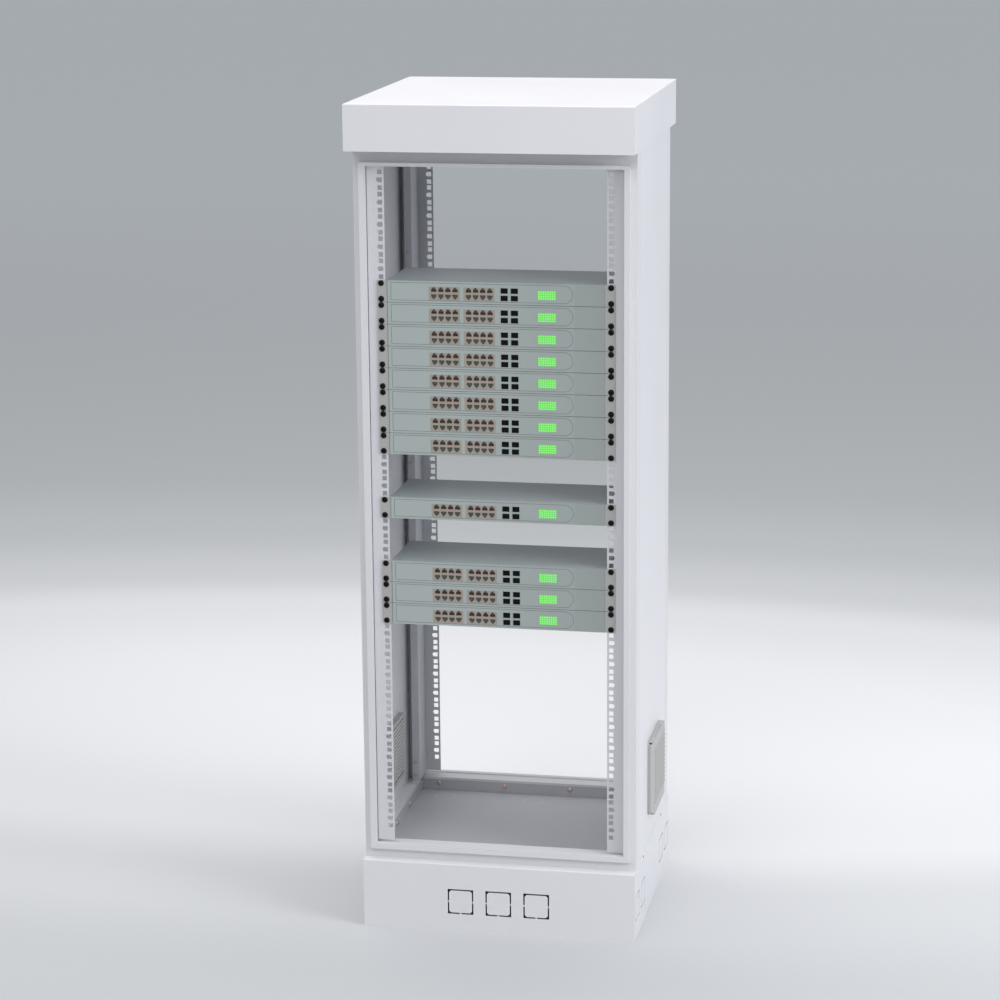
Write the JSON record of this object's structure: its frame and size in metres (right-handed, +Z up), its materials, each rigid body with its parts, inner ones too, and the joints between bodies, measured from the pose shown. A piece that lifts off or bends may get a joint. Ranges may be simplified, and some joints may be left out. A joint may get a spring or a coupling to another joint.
{
  "type": "floor-standing rack cabinet",
  "caption": "Floor-standing sheet-steel rack cabinet, open front and rear, with an overhanging canopy, a plinth, mounting rails, hinged vent covers and switches.",
  "frame": {"origin": "centre of the footprint, on the floor", "axes": "+Z up, -Y out of the open front with the switches, +X to the right as seen from the front"},
  "size_m": [0.603, 0.602, 1.721],
  "materials": {
    "shell_paint": "textured matt",
    "rail_paint": "textured matt",
    "inner_paint": "matt",
    "vent_plastic": "matt",
    "filter_fleece": "fleece",
    "port_metal": "plain",
    "port_black": "gloss",
    "display_green": "lit",
    "plated_screw": "yellow plated",
    "switch_case": "satin",
    "switch_front": "matt",
    "screw_black": "semi-gloss"
  },
  "bodies": {
    "cabinet": {"canopy": "shell_paint", "canopy_bearer_front": "inner_paint", "canopy_bearer_rear": "inner_paint", "column_front_left": "shell_paint", "column_front_right": "shell_paint", "column_rear_left": "shell_paint", "column_rear_right": "shell_paint", "filter_mat_left": "filter_fleece", "filter_mat_right": "filter_fleece", "floor_tray": "inner_paint", "header_front": "shell_paint", "header_rear": "shell_paint", "plinth": "shell_paint", "rail_front_left": "rail_paint", "rail_front_right": "rail_paint", "rail_rear_left": "rail_paint", "rail_rear_right": "rail_paint", "roof_panel": "shell_paint", "side_panel_left": "shell_paint", "side_panel_right": "shell_paint", "side_sill_left": "shell_paint", "side_sill_right": "shell_paint", "sill_front": "shell_paint", "sill_rear": "shell_paint", "switch_01_case": "switch_case", "switch_01_fascia": "switch_front", "switch_02_case": "switch_case", "switch_02_fascia": "switch_front", "switch_03_case": "switch_case", "switch_03_fascia": "switch_front", "switch_04_case": "switch_case", "switch_04_fascia": "switch_front", "switch_05_case": "switch_case", "switch_05_fascia": "switch_front", "switch_06_case": "switch_case", "switch_06_fascia": "switch_front", "switch_07_case": "switch_case", "switch_07_fascia": "switch_front", "switch_08_case": "switch_case", "switch_08_fascia": "switch_front", "switch_09_case": "switch_case", "switch_09_fascia": "switch_front", "switch_10_case": "switch_case", "switch_10_fascia": "switch_front", "switch_11_case": "switch_case", "switch_11_fascia": "switch_front", "switch_12_case": "switch_case", "switch_12_fascia": "switch_front", "top_beam_left": "shell_paint", "top_beam_right": "shell_paint", "vent_frame_left": "vent_plastic", "vent_frame_right": "vent_plastic"},
    "left_vent_cover": {"vent_cover_left": "vent_plastic"},
    "right_vent_cover": {"vent_cover_right": "vent_plastic"}
  },
  "joints": [
    {"name": "left_vent_hinge", "type": "hinge", "parent": "cabinet", "child": "left_vent_cover", "pos_m": [-0.2943, 0.01, 0.2168], "axis": [0, -1, 0], "range_deg": [0, 85]},
    {"name": "right_vent_hinge", "type": "hinge", "parent": "cabinet", "child": "right_vent_cover", "pos_m": [0.2943, 0.01, 0.2168], "axis": [0, 1, 0], "range_deg": [0, 85]}
  ]
}
